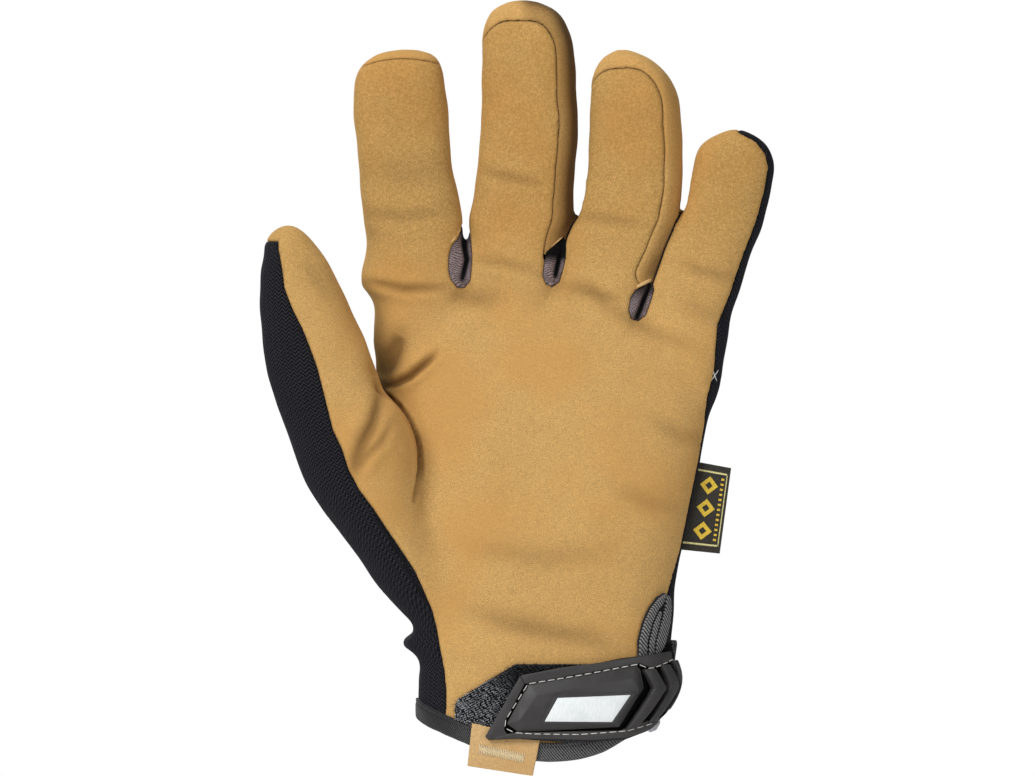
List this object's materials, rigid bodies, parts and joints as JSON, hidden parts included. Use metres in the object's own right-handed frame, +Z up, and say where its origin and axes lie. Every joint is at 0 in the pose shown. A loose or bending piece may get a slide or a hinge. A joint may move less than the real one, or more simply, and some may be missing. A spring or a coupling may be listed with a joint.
{
  "type": "mechanic glove",
  "caption": "Left-hand work glove with a suede palm, knit back and moulded wrist strap, filled out as when worn.",
  "frame": {"origin": "middle of the wrist opening, near the lowest point of the hem", "axes": "+Z up along the palm towards the fingertips, -Y out of the palm, -X towards the thumb"},
  "size_m": [0.1665, 0.0579, 0.252],
  "materials": {
    "suede": "matte napped suede",
    "suede_side": "matte napped suede",
    "knit": "matte knit",
    "gusset_knit": "matte knit",
    "heather_binding": "matte heather knit",
    "loop_fabric": "matte brushed loop pile",
    "strap_rubber": "satin moulded",
    "white_plate": "satin",
    "webbing": "matte ribbed",
    "label_fabric": "matte woven"
  },
  "bodies": {
    "root": {"palm_panel": "suede", "back_panel": "knit", "index_wall": "suede_side", "middle_wall": "suede_side", "ring_wall": "suede_side", "finger_gusset_1": "gusset_knit", "finger_gusset_2": "gusset_knit", "finger_gusset_3": "gusset_knit", "cuff_binding": "heather_binding", "loop_patch": "loop_fabric", "pull_tab": "suede", "closure_strap": "strap_rubber", "strap_plate": "white_plate", "slit_binding": "webbing", "side_label": "label_fabric"}
  },
  "joints": []
}
